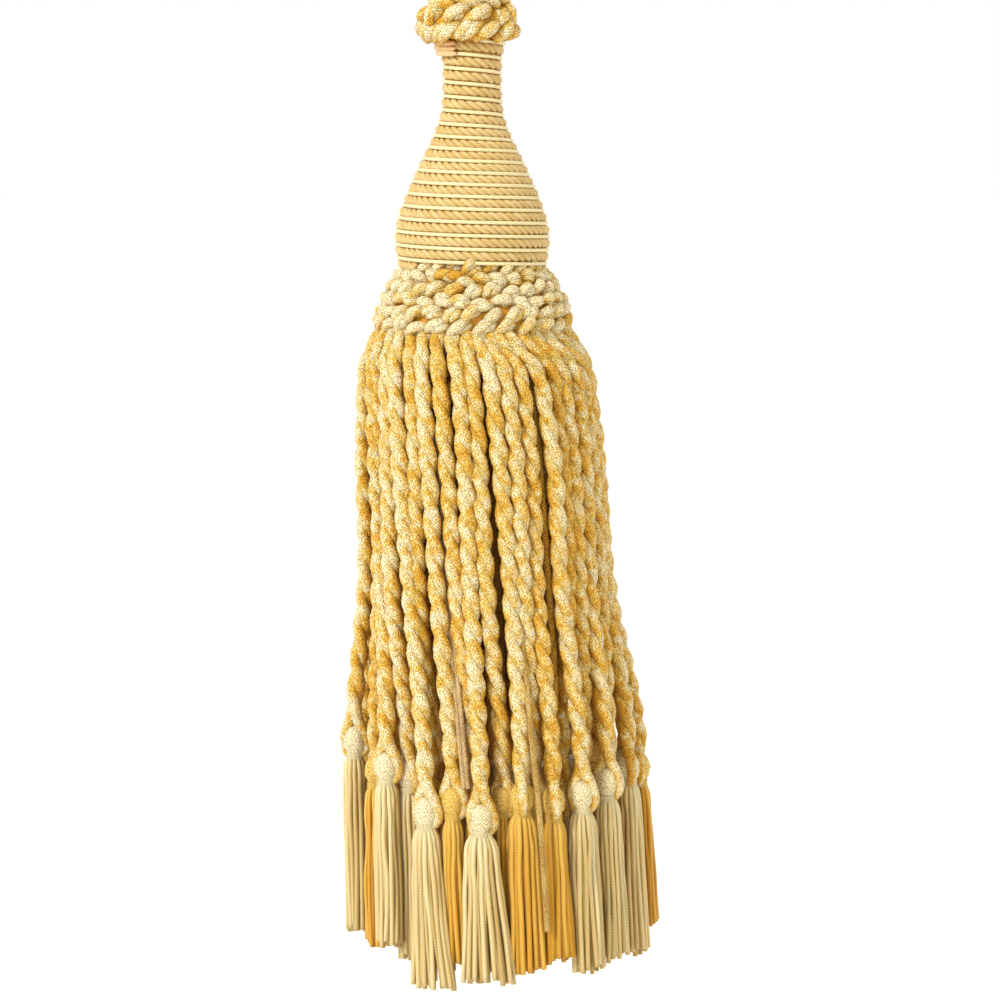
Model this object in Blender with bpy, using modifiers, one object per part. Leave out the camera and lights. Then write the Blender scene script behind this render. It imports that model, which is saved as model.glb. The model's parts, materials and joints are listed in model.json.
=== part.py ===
"""Curtain tieback tassel, hanging: a wound head between two knotted ruffs, a skirt of twisted cord
pairs in six comb sections, a small tassel at the end of each pair, three plain cords among them and a
bundle of more plain cords inside.

Metres, +Z up. The origin is the middle of the crown's top, where the tieback would hold it, and the
front of the tassel faces -Y. An azimuth is measured from the front, positive towards +X."""

import math
from collections import namedtuple

import bmesh
import bpy
from mathutils import Vector

MM = 0.001
GAP = 0.3 * MM  # between pieces that touch on the real tassel

CROWN_SHIFT = -1.3 * MM  # the crown's knots bulge further on its left
RUFF_SHIFT = 0.3 * MM
CROWN_KNOTS = 16  # round each row
RUFF_KNOTS = 26
KNOT_HEIGHT = 1.1 * MM

WINDING_PITCH = 4.1 * MM  # one turn of gold rope and one of cream cord, along the head's surface
WINDING_GROOVE = 0.9 * MM
HEAD_SIDES = 16

BAND_REACH = 25.5 * MM  # the bound heading that the skirt's cords hang from
BAND_RADIUS = 2.4 * MM
BAND_END_GAP = 0.8 * MM
BAND_SECTIONS = 6
BAND_STEPS = 4  # straight runs in each section
TWIST_RADIUS = 1.95 * MM  # of a twisted pair of cords, averaged over its bulges
TWIST_RADIUS_AT_BAND = 1.4 * MM
SIX_SIDES, EIGHT_SIDES = 1, 2  # a curve's bevel resolutions
SHARP_DEGREES = 50
WELD = 0.01 * MM

TASSEL_SIDES = 7
BALL_RADIUS = 3.4 * MM
BALL_END_RADIUS = 1.7 * MM
BALL_HALF_HEIGHT = 3.9 * MM
BALL_WIDEST_FROM, BALL_WIDEST_TO = -1.2 * MM, 1.75 * MM  # drops, like those below, from its middle
NECK_DROP = 5.0 * MM
NECK_RADIUS = 2.5 * MM
SHOULDER_DROP = 11.0 * MM
SHOULDER_SHARE = 0.8  # of the hem's width
SHOULDER_HALF_DEPTH = 2.85 * MM
HEM_FLARE = 1.4 * MM  # how much further out a hem hangs than its ball
HEM_HALF_DEPTH = 3.0 * MM  # the yarn skirts hang packed, flatter from front to back than across

SEWN_PULL = (1, 0.6, 0.1)  # how far a cord's top points keep to where it is sewn
INNER_STEP_AT_BAND = 0.5 * MM  # how far the inner layer of cords lies inside the outer one
INNER_STEP_AT_WAIST = 2.2 * MM
INNER_STEP_AT_HEM = 6.6 * MM
BUNDLE_CORDS = 24  # round the bundle inside
BUNDLE_FLUTE = 1.4 * MM

Section = namedtuple("Section", "drop reach")
HEAD_OUTLINE = [  # mm
    Section(18.7, 10.2),
    Section(22.5, 9.3),
    Section(27, 9.0),
    Section(34, 9.0),
    Section(40, 9.7),
    Section(46, 11.7),
    Section(52, 14.4),
    Section(59, 17.5),
    Section(65, 20.1),
    Section(71, 22.1),
    Section(76, 22.7),
    Section(81, 22.2),
    Section(84.2, 21.6),
]
CROWN_OUTLINE = [  # mm, a row of knots at each but the first and the last
    Section(0, 5.0),
    Section(1.9, 7.4),
    Section(6.3, 9.9),
    Section(11.2, 13.0),
    Section(15.6, 14.6),
    Section(18.4, 12.6),
]
RUFF_OUTLINE = [  # mm, the same
    Section(84.5, 20.5),
    Section(86.6, 22.8),
    Section(90.6, 25.5),
    Section(94.8, 27.4),
    Section(99.0, 28.6),
    Section(102.3, 28.4),
    Section(103.5, 26.5),
]
CORD_OUTLINE = [  # mm, the outer layer's centre line
    Section(106.2, 25.5),
    Section(112.6, 31.4),
    Section(127, 34.2),
    Section(180, 37.0),
    Section(236, 41.2),
]
INNER_OUTLINE = [  # mm, the bundle of plain cords that fills the skirt out
    Section(103.8, 18.3),
    Section(107, 18.7),
    Section(112, 20.9),
    Section(119, 23.9),
    Section(130, 26.0),
    Section(150, 27.4),
    Section(180, 28.2),
    Section(215, 26.4),
    Section(231, 23.8),
]
Lean = namedtuple("Lean", "drop sideways")
SKIRT_LEAN = [  # mm, how far the skirt's middle hangs to the right of the head's axis
    Lean(103, 0.3),
    Lean(124, 1.4),
    Lean(164, 3.2),
    Lean(205, 5.4),
    Lean(236, 6.8),
    Lean(300, 8.9),
]

# One row for each cord of the front half and the small tassel at its end. azimuths are in degrees,
# layer is 0 in the outer ring and 1 in the inner one, drop is the ball's middle below the crown's top,
# length runs from there to the hem and spread is the hem's half width, in mm.
Hanging = namedtuple("Hanging", "azimuth hem_azimuth layer drop length spread yarn")
FRONT = [
    Hanging(-86, -86, -0.3, 227, 58, 4.6, "cream"),
    Hanging(-70, -70, 0.5, 234, 53, 4.2, "gold"),
    Hanging(-54, -51, 0.0, 230, 53, 4.9, "cream"),
    Hanging(-48, -47, 1.0, 233, 55, 4.0, "cream"),
    Hanging(-39.5, -29.5, 0.0, 241, 52, 5.4, "cream"),
    Hanging(-34, -33.5, 1.0, 237, 50, 3.3, "gold"),
    Hanging(-26.5, -19, 0.45, 238, 48, 3.6, "gold"),
    Hanging(-14.6, -9.8, 1.0, 239, 50, 3.8, "gold"),
    Hanging(-6.5, -6, 0.0, 242, 48, 6.2, "cream"),
    Hanging(2.5, 4, 1.0, 238, 48, 3.4, "gold"),
    Hanging(9.5, 11, 0.1, 236, 51, 5.0, "gold"),
    Hanging(22.8, 18.5, 1.0, 238, 48, 3.6, "gold"),
    Hanging(28, 24.5, 0.1, 238, 46, 4.1, "gold"),
    Hanging(40.5, 38, 0.0, 237, 52, 5.2, "cream"),
    Hanging(42.5, 41, 1.9, 246, 40, 3.6, "cream"),
    Hanging(52, 49, 1.0, 238, 50, 4.2, "gold"),
    Hanging(58, 53.5, 0.0, 235, 52, 5.0, "cream"),
    Hanging(71, 67, 0.7, 238, 50, 4.0, "gold"),
    Hanging(80, 77, 0.0, 234, 56, 4.9, "cream"),
    Hanging(92, 95, -0.4, 237, 48, 4.3, "gold"),
]
BACK_FROM, BACK_TO, BACK_COUNT = 106, 265, 18
BACK_YARNS = ("cream", "gold", "cream", "cream", "gold")
BACK_DROPS = (237, 234, 239, 235, 232)
BACK_LENGTH, BACK_SPREAD = 52, (5.0, 4.2)

# Routes of the plain cords, chosen by hand: azimuth in degrees, reach from the skirt's middle and
# drop in mm.
Stop = namedtuple("Stop", "azimuth reach drop")
TAN_RADIUS = 0.85 * MM
TAN_ROUTE = [
    Stop(-25.5, 20.6, 103.9),
    Stop(-25.5, 20.8, 107),
    Stop(-25.5, 23.2, 112),
    Stop(-25.5, 26.8, 119),
    Stop(-25.2, 29.4, 130),
    Stop(-23.2, 31, 148),
    Stop(-20.8, 32.4, 168),
    Stop(-17.4, 34.7, 190),
    Stop(-14.5, 37.8, 212),
    Stop(-12.2, 39.4, 234),
]
DARK_RADIUS = 1.15 * MM
DARK_ROUTE = [
    Stop(34.3, 20.6, 103.9),
    Stop(34.3, 20.8, 107),
    Stop(34.3, 23.2, 112),
    Stop(34.3, 26.8, 119),
    Stop(34.3, 29.4, 130),
    Stop(34.3, 31.6, 150),
    Stop(34.3, 32.8, 175),
    Stop(34, 33.4, 200),
    Stop(32.5, 34.2, 218),
    Stop(30.5, 35.4, 232),
]
LOOSE_RADIUS = 0.85 * MM
LOOSE_ROUTE = [
    Stop(15.7, 20.6, 103.9),
    Stop(15.7, 20.8, 107),
    Stop(15.7, 23.2, 112),
    Stop(15.6, 27, 119),
    Stop(15.5, 29.8, 130),
    Stop(15.4, 32.6, 150),
    Stop(15.3, 35.6, 175),
    Stop(15.3, 39.2, 200),
    Stop(15.4, 42.4, 218),
    Stop(15.8, 44.8, 233),
    Stop(16.2, 45.7, 243),
    Stop(16.8, 46, 256),
    Stop(17.6, 46, 275),
]
ROUTE_STEP_IN_DIAMETERS = 3
ROUTE_FINENESS = 24  # steps between two stops when a route's length is measured


def clear_scene():
    for thing in list(bpy.data.objects):
        bpy.data.objects.remove(thing, do_unlink=True)


def collection(name):
    made = bpy.data.collections.new(name)
    bpy.context.scene.collection.children.link(made)
    return made


def material(name, colour, roughness):
    made = bpy.data.materials.new(name)
    made.use_nodes = True
    shader = made.node_tree.nodes["Principled BSDF"]
    shader.inputs["Base Color"].default_value = (*colour, 1)
    shader.inputs["Roughness"].default_value = roughness
    shader.inputs["Metallic"].default_value = 0
    made.diffuse_color = (*colour, 1)
    return made


def place(mesh, name, look):
    thing = bpy.data.objects.new(name, mesh)
    thing.data.materials.append(look)
    tassel.objects.link(thing)
    return thing


def between(rows, drop, column):
    """A table's column, read in a straight line between its rows; drop is in mm."""
    if drop <= rows[0].drop:
        return getattr(rows[0], column)
    for above, below in zip(rows, rows[1:]):
        if drop <= below.drop:
            share = (drop - above.drop) / (below.drop - above.drop)
            start = getattr(above, column)
            return start + share * (getattr(below, column) - start)
    return getattr(rows[-1], column)


def eased(rows, drop, column):
    """The same, on a smooth curve through the rows."""
    last = len(rows) - 1
    i = next((k for k in range(last) if drop <= rows[k + 1].drop), last - 1)
    values = [getattr(row, column) for row in rows]

    def slope(k):
        a, b = max(k - 1, 0), min(k + 1, last)
        return (values[b] - values[a]) / (rows[b].drop - rows[a].drop)

    width = rows[i + 1].drop - rows[i].drop
    t = min(max((drop - rows[i].drop) / width, 0), 1)
    return (
        (1 + 2 * t) * (1 - t) ** 2 * values[i]
        + t * (1 - t) ** 2 * width * slope(i)
        + t * t * (3 - 2 * t) * values[i + 1]
        + t * t * (t - 1) * width * slope(i + 1)
    )


def skirt_point(azimuth, reach, drop):
    """A place in the skirt, from degrees and mm to metres in the object's frame."""
    turn = math.radians(azimuth)
    lean = between(SKIRT_LEAN, drop, "sideways")
    across = lean + reach * math.sin(turn)
    return Vector((across, -reach * math.cos(turn), -drop)) * MM


def finish_mesh(shape, name):
    bmesh.ops.recalc_face_normals(shape, faces=shape.faces)
    mesh = bpy.data.meshes.new(name)
    shape.to_mesh(mesh)
    shape.free()
    mesh.shade_smooth()
    mesh.set_sharp_from_angle(angle=math.radians(SHARP_DEGREES))
    return mesh


def loft(name, rings, sides):
    """A closed body from the top ring down. Each ring gives the point at a turn in radians."""
    shape = bmesh.new()
    turns = [2 * math.pi * side / sides for side in range(sides)]
    loops = [[shape.verts.new(ring(turn)) for turn in turns] for ring in rings]
    for upper, lower in zip(loops, loops[1:]):
        for side in range(sides):
            shape.faces.new((upper[side - 1], upper[side], lower[side], lower[side - 1]))
    shape.faces.new(loops[0])
    shape.faces.new(loops[-1])
    return finish_mesh(shape, name)


def ellipse(middle, half_width, half_depth, facing):
    """A level ring about a point, its width across the direction that faces out of the skirt."""

    def point(turn):
        wide, deep = half_width * math.cos(turn), half_depth * math.sin(turn)
        x = wide * math.cos(facing) - deep * math.sin(facing)
        y = wide * math.sin(facing) + deep * math.cos(facing)
        return Vector((x, y, 0)) + middle

    return point


def knot_row(middle, reach, knots, stagger, height):
    """A level ring that stands out at each knot or cord."""

    def point(turn):
        bulge = height * 0.5 * math.cos(knots * turn + math.pi * stagger)
        out = reach + bulge
        return Vector((out * math.cos(turn), out * math.sin(turn), 0)) + middle

    return point


def knotted_collar(name, outline, knots, shift, look):
    """Rows of knots, each half a knot round from the row above, and plain ends."""
    rings = []
    for number, section in enumerate(outline):
        middle = Vector((shift, 0, -section.drop * MM))
        end = number in (0, len(outline) - 1)
        height = 0 if end else KNOT_HEIGHT
        rings.append(knot_row(middle, section.reach * MM, knots, number % 2, height))
    return place(loft(name, rings, 2 * knots), name, look)


def winding_profile():
    """The head's side from top to bottom, out at each turn of rope and in at each thin cord."""
    top, bottom = HEAD_OUTLINE[0].drop, HEAD_OUTLINE[-1].drop
    points = []
    drop, inward = top, False
    while drop < bottom:
        reach = eased(HEAD_OUTLINE, drop, "reach") * MM
        points.append((reach - (WINDING_GROOVE if inward else 0), -drop * MM))
        grown = eased(HEAD_OUTLINE, drop + 1, "reach") - eased(HEAD_OUTLINE, drop, "reach")
        drop += 0.5 * WINDING_PITCH / MM / math.hypot(1, grown)
        inward = not inward
    points.append((HEAD_OUTLINE[-1].reach * MM, -bottom * MM))
    return points


def wound_head(name, look):
    profile = winding_profile()
    corners = [(0, 0, profile[0][1])]
    corners += [(reach, 0, height) for reach, height in profile]
    corners += [(0, 0, profile[-1][1])]
    mesh = bpy.data.meshes.new(name)
    mesh.from_pydata(corners, [(i, i + 1) for i in range(len(corners) - 1)], [])
    thing = place(mesh, name, look)
    turned = thing.modifiers.new("turned", "SCREW")
    turned.steps = turned.render_steps = HEAD_SIDES
    turned.use_merge_vertices = True
    turned.merge_threshold = WELD
    turned.use_smooth_shade = True
    return thing


def tube(name, points, radii, resolution):
    """A round tube through the points, closed at both ends, as a mesh."""
    curve = bpy.data.curves.new(name, "CURVE")
    curve.dimensions = "3D"
    curve.bevel_depth = 1
    curve.bevel_resolution = resolution
    curve.use_fill_caps = True
    line = curve.splines.new("POLY")
    line.points.add(len(points) - 1)
    for spot, point, radius in zip(line.points, points, radii):
        spot.co = (*point, 1)
        spot.radius = radius
    drawn = bpy.data.objects.new(name + "_line", curve)
    tassel.objects.link(drawn)
    bpy.context.view_layer.update()
    graph = bpy.context.evaluated_depsgraph_get()
    mesh = bpy.data.meshes.new_from_object(drawn.evaluated_get(graph))
    bpy.data.objects.remove(drawn)
    shape = bmesh.new()
    shape.from_mesh(mesh)
    bpy.data.meshes.remove(mesh)
    bmesh.ops.remove_doubles(shape, verts=shape.verts, dist=WELD)
    return finish_mesh(shape, name)


def back_half():
    """The cords and small tassels that the front table doesn't list."""
    rows = []
    for number in range(BACK_COUNT):
        azimuth = BACK_FROM + (BACK_TO - BACK_FROM) * number / (BACK_COUNT - 1)
        layer = number % 2
        drop = BACK_DROPS[number % len(BACK_DROPS)]
        yarn = BACK_YARNS[number % len(BACK_YARNS)]
        spread = BACK_SPREAD[layer]
        rows.append(Hanging(azimuth, azimuth, layer, drop, BACK_LENGTH, spread, yarn))
    return rows


def cord_reach(layer, drop):
    """How far out a cord's centre line is, in mm, for its layer and the drop in mm."""
    steps = [
        Section(CORD_OUTLINE[0].drop, INNER_STEP_AT_BAND / MM),
        Section(CORD_OUTLINE[2].drop, INNER_STEP_AT_WAIST / MM),
        Section(CORD_OUTLINE[3].drop, INNER_STEP_AT_WAIST / MM),
        Section(CORD_OUTLINE[4].drop, INNER_STEP_AT_HEM / MM),
    ]
    outer = between(CORD_OUTLINE, drop, "reach")
    return outer - layer * between(steps, drop, "reach")


def cord_points(row, sewn_azimuth):
    """A twisted pair's centre line, from inside the heading band to just above its small tassel."""
    foot = row.drop - (BALL_HALF_HEIGHT + GAP) / MM
    drops = [section.drop for section in CORD_OUTLINE[:-1]] + [foot]
    points = []
    for number, drop in enumerate(drops):
        share = (drop - drops[0]) / (drops[-1] - drops[0])
        azimuth = row.azimuth + share * (row.hem_azimuth - row.azimuth)
        pull = SEWN_PULL[number] if number < len(SEWN_PULL) else 0
        azimuth += pull * (sewn_azimuth - azimuth)
        points.append(skirt_point(azimuth, cord_reach(row.layer, drop), drop))
    return points


def join(body, other):
    """Unites another object with body and drops it."""
    union = body.modifiers.new("with_" + other.name, "BOOLEAN")
    union.operation = "UNION"
    union.solver = "EXACT"
    union.object = other
    bpy.context.view_layer.update()
    graph = bpy.context.evaluated_depsgraph_get()
    mesh = bpy.data.meshes.new_from_object(body.evaluated_get(graph))
    body.modifiers.clear()
    body.data = mesh
    bpy.data.objects.remove(other)


def border_near(azimuth, sewn):
    """Halfway between the two cords on either side of an azimuth."""
    turns = [turn + full for turn in sewn for full in (0, 360)]
    below = max(turn for turn in turns if turn <= azimuth)
    above = min(turn for turn in turns if turn > azimuth)
    return (below + above) / 2


def sewn_azimuths(rows):
    """Where each cord is sewn to the heading: evenly spaced over the front, and over the back."""
    front = [row for row in rows if row.azimuth < BACK_FROM]
    first, last = front[0].azimuth, front[-1].azimuth
    even = [first + (last - first) * number / (len(front) - 1) for number in range(len(front))]
    return even + [row.azimuth for row in rows[len(front) :]]


def comb_section(name, start, end, cords, look):
    """A stretch of the heading band, from one azimuth to another, and the cords that hang from it."""
    trim = math.degrees(BAND_END_GAP / BAND_REACH) / 2
    drop = RUFF_OUTLINE[-1].drop + (GAP + BAND_RADIUS) / MM
    arc = []
    for step in range(BAND_STEPS + 1):
        azimuth = start + trim + (end - start - 2 * trim) * step / BAND_STEPS
        arc.append(skirt_point(azimuth, BAND_REACH / MM, drop))
    band = place(tube(name, arc, [BAND_RADIUS] * len(arc), EIGHT_SIDES), name, look)
    for points in cords:
        radii = [TWIST_RADIUS_AT_BAND] + [TWIST_RADIUS] * (len(points) - 1)
        tooth = tube("tooth", points, radii, SIX_SIDES)
        join(band, place(tooth, "tooth", look))
    return band


def small_tassel(number, row, looks):
    """A wrapped ball, a bound neck and a skirt of yarns that hang packed against their neighbours."""
    name = f"tassel_{number + 1:02d}"
    reach = cord_reach(row.layer, row.drop)
    ball = skirt_point(row.hem_azimuth, reach, row.drop)
    hem = skirt_point(row.hem_azimuth, reach + HEM_FLARE / MM, row.drop + row.length)
    facing = math.radians(row.hem_azimuth)
    sections = [  # drop below the ball's middle, half width, half depth
        (-BALL_HALF_HEIGHT, BALL_END_RADIUS, BALL_END_RADIUS),
        (BALL_WIDEST_FROM, BALL_RADIUS, BALL_RADIUS),
        (BALL_WIDEST_TO, BALL_RADIUS, BALL_RADIUS),
        (NECK_DROP, NECK_RADIUS, NECK_RADIUS),
        (SHOULDER_DROP, SHOULDER_SHARE * row.spread * MM, SHOULDER_HALF_DEPTH),
        (row.length * MM, row.spread * MM, HEM_HALF_DEPTH),
    ]
    rings = []
    for drop, half_width, half_depth in sections:
        level = ball.lerp(hem, max(drop - NECK_DROP, 0) / (row.length * MM - NECK_DROP))
        level.z = ball.z - drop
        rings.append(ellipse(level, half_width, half_depth, facing))
    return place(loft(name, rings, TASSEL_SIDES), name, looks[row.yarn])


def inner_bundle(name, look):
    """The plain cords packed inside the skirt, as one body with a flute between each two of them."""
    rings = []
    for section in INNER_OUTLINE:
        middle = skirt_point(0, 0, section.drop)
        rings.append(knot_row(middle, section.reach * MM, BUNDLE_CORDS, 0, BUNDLE_FLUTE))
    return place(loft(name, rings, 2 * BUNDLE_CORDS), name, look)


def smooth_route(stops, spacing):
    """Evenly spaced points on a smooth curve through the stops."""
    knots = [skirt_point(*stop) for stop in stops]
    padded = [2 * knots[0] - knots[1], *knots, 2 * knots[-1] - knots[-2]]
    fine = []
    for a, b, c, d in zip(padded, padded[1:], padded[2:], padded[3:]):
        for step in range(ROUTE_FINENESS):
            t = step / ROUTE_FINENESS
            fine.append(
                0.5
                * (
                    2 * b
                    + (c - a) * t
                    + (2 * a - 5 * b + 4 * c - d) * t * t
                    + (3 * b - a - 3 * c + d) * t**3
                )
            )
    fine.append(knots[-1])
    lengths = [0.0]
    for a, b in zip(fine, fine[1:]):
        lengths.append(lengths[-1] + (b - a).length)
    count = round(lengths[-1] / spacing)
    points, at = [], 0
    for number in range(count + 1):
        wanted = lengths[-1] * number / count
        while at < len(fine) - 2 and lengths[at + 1] < wanted:
            at += 1
        share = (wanted - lengths[at]) / (lengths[at + 1] - lengths[at])
        points.append(fine[at].lerp(fine[at + 1], share))
    return points


def plain_cord(name, stops, radius, look):
    points = smooth_route(stops, ROUTE_STEP_IN_DIAMETERS * 2 * radius)
    return place(tube(name, points, [radius] * len(points), EIGHT_SIDES), name, look)


clear_scene()
tassel = collection("curtain_tieback_tassel")

variegated = material("variegated_cord", (0.80, 0.60, 0.28), 0.5)
wound = material("gold_rope", (0.78, 0.52, 0.20), 0.5)
yarn_looks = {
    "cream": material("cream_yarn", (0.82, 0.74, 0.45), 0.5),
    "gold": material("gold_yarn", (0.80, 0.45, 0.09), 0.5),
}
tan = material("tan_cord", (0.60, 0.45, 0.24), 0.5)
dark_gold = material("dark_gold_cord", (0.45, 0.26, 0.06), 0.5)

knotted_collar("top_ruff", CROWN_OUTLINE, CROWN_KNOTS, CROWN_SHIFT, variegated)
wound_head("head", wound)
knotted_collar("lower_ruff", RUFF_OUTLINE, RUFF_KNOTS, RUFF_SHIFT, variegated)

hangings = FRONT + back_half()
sewn = sewn_azimuths(hangings)
section_turn = 360 / BAND_SECTIONS
borders = [border_near(number * section_turn, sewn) for number in range(BAND_SECTIONS)]
borders.append(borders[0] + 360)
for number, (start, end) in enumerate(zip(borders, borders[1:])):
    members = [
        cord_points(row, turn)
        for row, turn in zip(hangings, sewn)
        if start < turn < end or start < turn + 360 < end
    ]
    comb_section(f"cord_skirt_{number + 1}", start, end, members, variegated)
inner_bundle("inner_cords", dark_gold)
for number, row in enumerate(hangings):
    small_tassel(number, row, yarn_looks)

plain_cord("plain_cord_tan", TAN_ROUTE, TAN_RADIUS, tan)
plain_cord("plain_cord_dark", DARK_ROUTE, DARK_RADIUS, dark_gold)
plain_cord("loose_cord_gold", LOOSE_ROUTE, LOOSE_RADIUS, yarn_looks["gold"])
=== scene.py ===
"""Looks of the curtain tieback tassel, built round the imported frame: the wound head, the two knotted
ruffs, the skirt of twisted cord pairs, the small yarn tassels and three plain braided cords.

Metres, +Z up, the front at -Y. The tables are in millimetres. An azimuth is in degrees from the
front, positive towards +X, and a drop is measured down from the crown's top."""

import json
import math
from collections import namedtuple

import bpy
import numpy as np
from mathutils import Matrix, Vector


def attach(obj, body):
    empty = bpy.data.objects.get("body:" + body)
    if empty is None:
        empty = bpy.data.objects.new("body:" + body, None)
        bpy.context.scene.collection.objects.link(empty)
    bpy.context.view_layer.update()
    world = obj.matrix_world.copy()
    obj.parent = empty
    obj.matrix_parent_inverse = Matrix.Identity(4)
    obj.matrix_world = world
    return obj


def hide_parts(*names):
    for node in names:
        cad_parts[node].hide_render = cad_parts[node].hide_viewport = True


MM = 0.001
BODY = "root"
SEED = 11

# The camera: level with the head and aimed at the middle of the picture.
CAMERA_AT = (0.0082, -0.85, -0.045)
CAMERA_AIM = (0.0082, 0.0, -0.1545)
CAMERA_ANGLE = math.radians(19.855)
FLOOR_DROP = 0.42
FLOOR_SIZE = 30
FLOOR_COLOUR = (0.97, 0.98, 1.0, 1)
AMBIENT = (0.92, 0.84, 0.69, 1)
SUN_TOWARDS, SUN_SOFTNESS, SUN_POWER, SUN_COLOUR = (0.56, 0.62, -0.55), 10, 2.0, (1, 0.985, 0.95)

# The skirt's cords. A pair is two braided cords twisted together, as a left-hand helix.
PLY_RADIUS = 1.88 * MM
PAIR_RADIUS = 0.93 * MM  # from the pair's centre line to each ply's: they lie pressed together
PAIR_RADIUS_AT_TOP = 0.6 * MM
LOOSE_DROP = 135  # mm, where the pairs reach their full width
UNTWIST_EASE = 3 * MM  # over which the twist comes to its end above the ball
PAIR_PITCH = 17.4 * MM
PITCH_SPREAD = 0.12
PLY_STEP = 0.62 * MM
PLY_SIDES = 8
CORD_STITCH = (10, 1.1 * MM)  # stitches round a ply, and the length of one
PLY_BULGES = (0.95, 0.1)  # a ply's least share of its radius, and how much it swells along its length
BULGE_RUN = 4 * MM
TINT_RUN = 5 * MM  # between two changes of colour along a cord
TINT_SPAN = 0.4
PLY_FAR_SIDE_SHADE, KNOT_FAR_SIDE_SHADE, YARN_FAR_SIDE_SHADE = 0.7, 0.6, 0.9  # painted shade: how much more golden a strand is made on its far side, turned inwards
INNER_LAYER_SHADE = 0.3  # painted shade: how much more golden the inner layer of pairs is made
SHADED_SIDE = ((-45, 0), (0, 0.1))  # painted shade on the side turned from the light: azimuths, and how much more golden the cords are made there
PATTERN_STARTS = 300  # places along the pattern at which a strand may begin, in pairs of stitches
RELIEF = 0.035  # how unevenly a braided surface lies, as a share of its radius
CELL_RINGS, PLAIN_CELL_RINGS, COARSE_CELL_RINGS = 60, 80, 40  # to a cell of the baked picture

BALL_HALF_HEIGHT = 3.9 * MM
YARN_RADIUS = 0.8 * MM
YARN_SPACING = 1.5 * MM
YARN_STITCH, BALL_STITCH = (4, 0.9 * MM), (20, 1.05 * MM)
PLAIN_STITCH, BUNDLE_STITCH = (5, 1.1 * MM), (7, 1.1 * MM)

Section = namedtuple("Section", "drop reach")
HEAD_OUTLINE = [
    Section(18.7, 10.2),
    Section(22.5, 9.3),
    Section(27, 9.0),
    Section(34, 9.0),
    Section(40, 9.7),
    Section(46, 11.7),
    Section(52, 14.7),
    Section(59, 17.9),
    Section(65, 20.5),
    Section(71, 22.5),
    Section(76, 23.2),
    Section(81, 22.8),
    Section(84.2, 22.2),
]
CORD_OUTLINE = [  # the outer layer's centre line, from under the ruff
    Section(101.6, 25.4),
    Section(106.2, 28.9),
    Section(112.6, 32.1),
    Section(127, 34.0),
    Section(180, 36.6),
    Section(236, 41.2),
]
INNER_STEPS = [  # how far the inner layer lies inside the outer one
    Section(106.2, 0.5),
    Section(127, 2.2),
    Section(180, 2.2),
    Section(236, 6.6),
]
Lean = namedtuple("Lean", "drop sideways")
SKIRT_LEAN = [
    Lean(103, 0.3),
    Lean(124, 1.4),
    Lean(164, 3.2),
    Lean(205, 5.4),
    Lean(236, 6.8),
    Lean(300, 8.9),
]
# How far each height of CORD_OUTLINE but the last keeps to the even places where cords are sewn on.
SEWN_PULL = (1, 0.75, 0.25, 0.03, 0)
BACK_PULL = (1, 1, 0.95, 0.9, 0.6)
# Degrees by which two front cords bow apart at 180 mm, where the photograph has a long dark gap.
BOWED = {9: -0.9, 10: 1.9}

# The front cords, in the order of their small tassels. fork is the angle at which the two plies part
# round the ball, as the front shows it: 0 to its left and right, 90 in front and behind.
Hung = namedtuple("Hung", "azimuth layer fork")
FRONT = [
    Hung(-86, 0.1, 0),
    Hung(-62, 1.0, 60),
    Hung(-71, 0.5, 15),
    Hung(-51, 0.1, 50),
    Hung(-46, 0.0, 12),
    Hung(-34.5, 0.8, 80),
    Hung(-28, 0.3, 10),
    Hung(-19, 0.7, 60),
    Hung(-7.5, 0.1, -12),
    Hung(-1.4, 0.5, 30),
    Hung(8.6, 0.1, 78),
    Hung(17.2, 0.2, 20),
    Hung(26.3, 0.6, 70),
    Hung(36.9, 0.1, 0),
    Hung(50, 1.2, 60),
    Hung(55.5, 0.7, 40),
    Hung(67, 0.3, 8),
    Hung(79, 0.5, 60),
    Hung(86, 0.2, 70),
    Hung(87, 0.0, 80),
]
BACK_FROM, BACK_TO, BACK_COUNT = 98, 241, 18
BACK_LAST = Hung(265, 0.6, 30)  # apart from the others, beside the first of FRONT

# The two plies' distance from the small tassel's axis, against the height above the ball's middle, in
# mm. One ply keeps close to the ball, and the other bulges at its side before it is bound in.
SPLIT_HEIGHTS = (-4.7, -3.8, -2.6, -1.0, 1.0, 3.2, 4.8, 6.2, 7.8)
SPLIT_CLOSE = (1.8, 2.2, 2.5, 2.7, 2.75, 2.3, 1.6, 1.1, 0.88)
SPLIT_BULGING = (2.0, 3.0, 3.6, 3.8, 3.3, 2.6, 1.75, 1.1, 0.88)
SPLIT_ROOM = 6.4  # mm above the ball, where the twist ends
PLY_THINNING = ((-4.7, 0.66), (0.0, 0.86), (4.0, 0.94), (8.0, 1.0))  # height and share of the radius

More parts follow.
